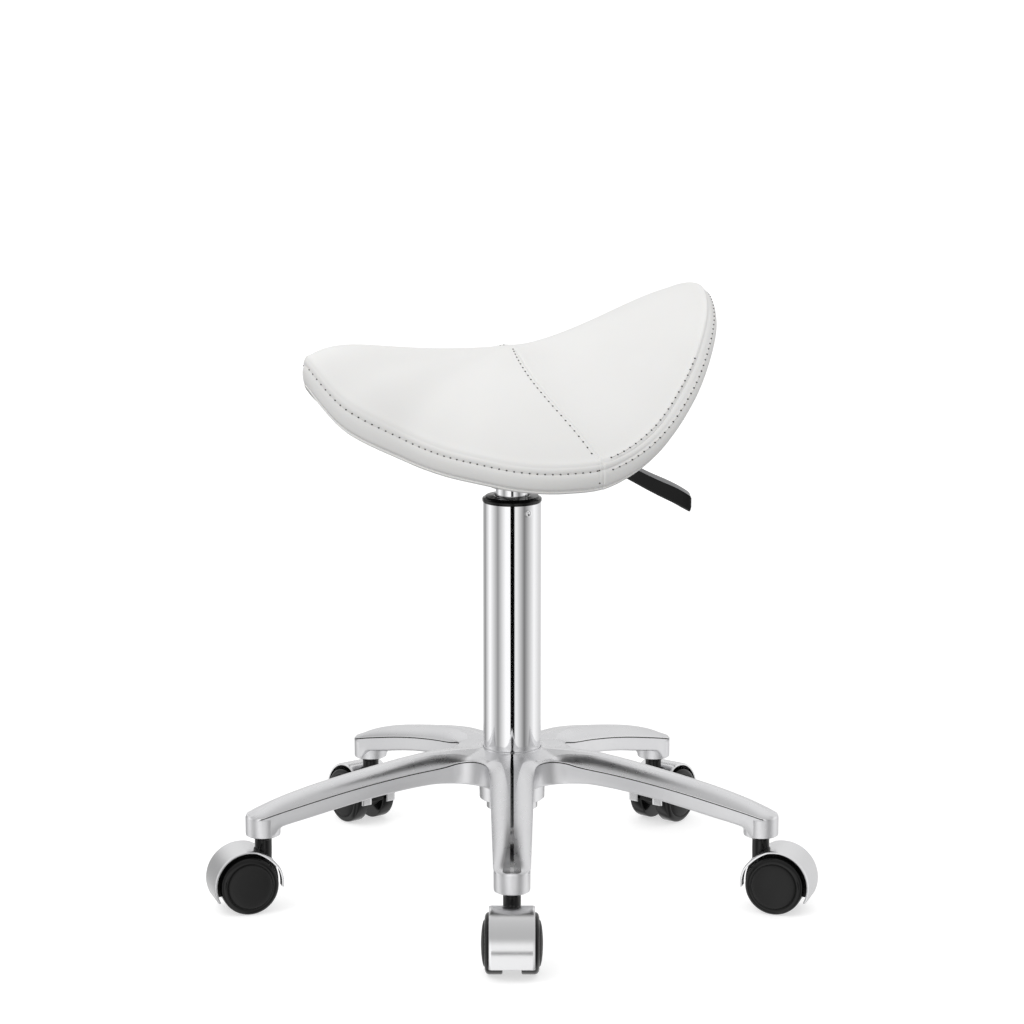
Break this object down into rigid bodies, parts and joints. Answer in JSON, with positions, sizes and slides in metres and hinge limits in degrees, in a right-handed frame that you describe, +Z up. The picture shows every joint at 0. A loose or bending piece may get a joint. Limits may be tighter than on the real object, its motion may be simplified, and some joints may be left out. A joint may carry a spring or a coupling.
{
  "type": "dentist stool",
  "caption": "Height-adjustable saddle stool: padded saddle seat on a gas lift column, five-arm metal base and hooded twin-wheel casters.",
  "frame": {"origin": "centre of the bounding box at floor level; the column axis stands 20.1 mm towards +Y from it", "axes": "+Z up; one arm of the base points along -Y; the seat's pommel points mostly along -X"},
  "size_m": [0.5198, 0.4944, 0.514],
  "materials": {
    "cast_aluminium": "polished",
    "chromed_steel": "polished",
    "black_gloss": "gloss",
    "grey_acetal": "satin",
    "steel": "satin",
    "black_rubber": "matte",
    "black_steel": "satin",
    "white_vinyl": "grained vinyl",
    "cream_foam": "open-cell foam",
    "black_plastic": "matte",
    "black_nylon": "gloss rim and satin face",
    "chromed_plastic": "polished"
  },
  "bodies": {
    "base": {"base_star": "cast_aluminium", "outer_tube": "chromed_steel", "top_cap": "black_gloss", "guide_sleeve": "grey_acetal", "lower_thrust_washer": "steel", "grip_ring_1": "steel", "grip_ring_2": "steel", "grip_ring_3": "steel", "grip_ring_4": "steel", "grip_ring_5": "steel"},
    "spindle": {"piston_rod": "steel", "piston": "steel", "rod_clip": "steel", "ball_cage": "steel", "upper_thrust_washer": "steel", "rubber_buffer": "black_rubber"},
    "seat": {"pressure_cylinder": "chromed_steel", "seat_plate": "black_steel", "lever_pivot_pin": "steel", "seat_bolt_1": "steel", "seat_bolt_2": "steel", "seat_bolt_3": "steel", "seat_bolt_4": "steel", "seat_pan": "black_plastic", "foam_cushion": "cream_foam", "seat_cover": "white_vinyl"},
    "valve": {"valve_button": "steel"},
    "lever": {"lever_arm": "steel", "lever_handle": "black_gloss"},
    "caster_1": {"caster_1_stem": "steel", "caster_1_body": "black_nylon", "caster_1_hood": "chromed_plastic", "caster_1_axle": "steel"},
    "caster_1_left_wheel": {"caster_1_wheel_left": "black_nylon"},
    "caster_1_right_wheel": {"caster_1_wheel_right": "black_nylon"},
    "caster_2": {"caster_2_stem": "steel", "caster_2_body": "black_nylon", "caster_2_hood": "chromed_plastic", "caster_2_axle": "steel"},
    "caster_2_left_wheel": {"caster_2_wheel_left": "black_nylon"},
    "caster_2_right_wheel": {"caster_2_wheel_right": "black_nylon"},
    "caster_3": {"caster_3_stem": "steel", "caster_3_body": "black_nylon", "caster_3_hood": "chromed_plastic", "caster_3_axle": "steel"},
    "caster_3_left_wheel": {"caster_3_wheel_left": "black_nylon"},
    "caster_3_right_wheel": {"caster_3_wheel_right": "black_nylon"},
    "caster_4": {"caster_4_stem": "steel", "caster_4_body": "black_nylon", "caster_4_hood": "chromed_plastic", "caster_4_axle": "steel"},
    "caster_4_left_wheel": {"caster_4_wheel_left": "black_nylon"},
    "caster_4_right_wheel": {"caster_4_wheel_right": "black_nylon"},
    "caster_5": {"caster_5_stem": "steel", "caster_5_body": "black_nylon", "caster_5_hood": "chromed_plastic", "caster_5_axle": "steel"},
    "caster_5_left_wheel": {"caster_5_wheel_left": "black_nylon"},
    "caster_5_right_wheel": {"caster_5_wheel_right": "black_nylon"}
  },
  "joints": [
    {"name": "seat_swivel", "type": "hinge", "parent": "base", "child": "spindle", "pos_m": [0, 0.02009, 0.07], "axis": [0, 0, 1], "continuous": true},
    {"name": "seat_lift", "type": "slide", "parent": "spindle", "child": "seat", "axis": [0, 0, 1], "range_m": [0, 0.2]},
    {"name": "lever_lift", "type": "hinge", "parent": "seat", "child": "lever", "pos_m": [0.02092, 0.02689, 0.3955], "axis": [0.309, -0.9511, 0], "range_deg": [0, 7.5], "stiffness_Nm_per_rad": 2, "springref_deg": -8.59},
    {"name": "valve_press", "type": "slide", "parent": "seat", "child": "valve", "axis": [0, 0, -1], "range_m": [0, 0.0029], "stiffness_N_per_m": 400, "springref_m": -0.001},
    {"name": "caster_1_swivel", "type": "hinge", "parent": "base", "child": "caster_1", "pos_m": [0, -0.20291, 0.07], "axis": [0, 0, 1], "continuous": true},
    {"name": "caster_1_left_roll", "type": "hinge", "parent": "caster_1", "child": "caster_1_left_wheel", "pos_m": [0.013, -0.21941, 0.025], "axis": [1, 0, 0], "continuous": true},
    {"name": "caster_1_right_roll", "type": "hinge", "parent": "caster_1", "child": "caster_1_right_wheel", "pos_m": [-0.013, -0.21941, 0.025], "axis": [1, 0, 0], "continuous": true},
    {"name": "caster_2_swivel", "type": "hinge", "parent": "base", "child": "caster_2", "pos_m": [0.21209, -0.04882, 0.07], "axis": [0, 0, 1], "continuous": true},
    {"name": "caster_2_left_roll", "type": "hinge", "parent": "caster_2", "child": "caster_2_left_wheel", "pos_m": [0.2318, -0.04156, 0.025], "axis": [0.309, 0.9511, 0], "continuous": true},
    {"name": "caster_2_right_roll", "type": "hinge", "parent": "caster_2", "child": "caster_2_right_wheel", "pos_m": [0.22376, -0.06628, 0.025], "axis": [0.309, 0.9511, 0], "continuous": true},
    {"name": "caster_3_swivel", "type": "hinge", "parent": "base", "child": "caster_3", "pos_m": [0.13108, 0.2005, 0.07], "axis": [0, 0, 1], "continuous": true},
    {"name": "caster_3_left_roll", "type": "hinge", "parent": "caster_3", "child": "caster_3_left_wheel", "pos_m": [0.13026, 0.22149, 0.025], "axis": [-0.809, 0.5878, 0], "continuous": true},
    {"name": "caster_3_right_roll", "type": "hinge", "parent": "caster_3", "child": "caster_3_right_wheel", "pos_m": [0.15129, 0.20621, 0.025], "axis": [-0.809, 0.5878, 0], "continuous": true},
    {"name": "caster_4_swivel", "type": "hinge", "parent": "base", "child": "caster_4", "pos_m": [-0.13108, 0.2005, 0.07], "axis": [0, 0, 1], "continuous": true},
    {"name": "caster_4_left_roll", "type": "hinge", "parent": "caster_4", "child": "caster_4_left_wheel", "pos_m": [-0.15129, 0.20621, 0.025], "axis": [-0.809, -0.5878, 0], "continuous": true},
    {"name": "caster_4_right_roll", "type": "hinge", "parent": "caster_4", "child": "caster_4_right_wheel", "pos_m": [-0.13026, 0.22149, 0.025], "axis": [-0.809, -0.5878, 0], "continuous": true},
    {"name": "caster_5_swivel", "type": "hinge", "parent": "base", "child": "caster_5", "pos_m": [-0.21209, -0.04882, 0.07], "axis": [0, 0, 1], "continuous": true},
    {"name": "caster_5_left_roll", "type": "hinge", "parent": "caster_5", "child": "caster_5_left_wheel", "pos_m": [-0.22376, -0.06628, 0.025], "axis": [0.309, -0.9511, 0], "continuous": true},
    {"name": "caster_5_right_roll", "type": "hinge", "parent": "caster_5", "child": "caster_5_right_wheel", "pos_m": [-0.2318, -0.04156, 0.025], "axis": [0.309, -0.9511, 0], "continuous": true}
  ],
  "couplings": [
    {"joint": "valve_press", "follows": "lever_lift", "m_per_rad": 0.022}
  ]
}
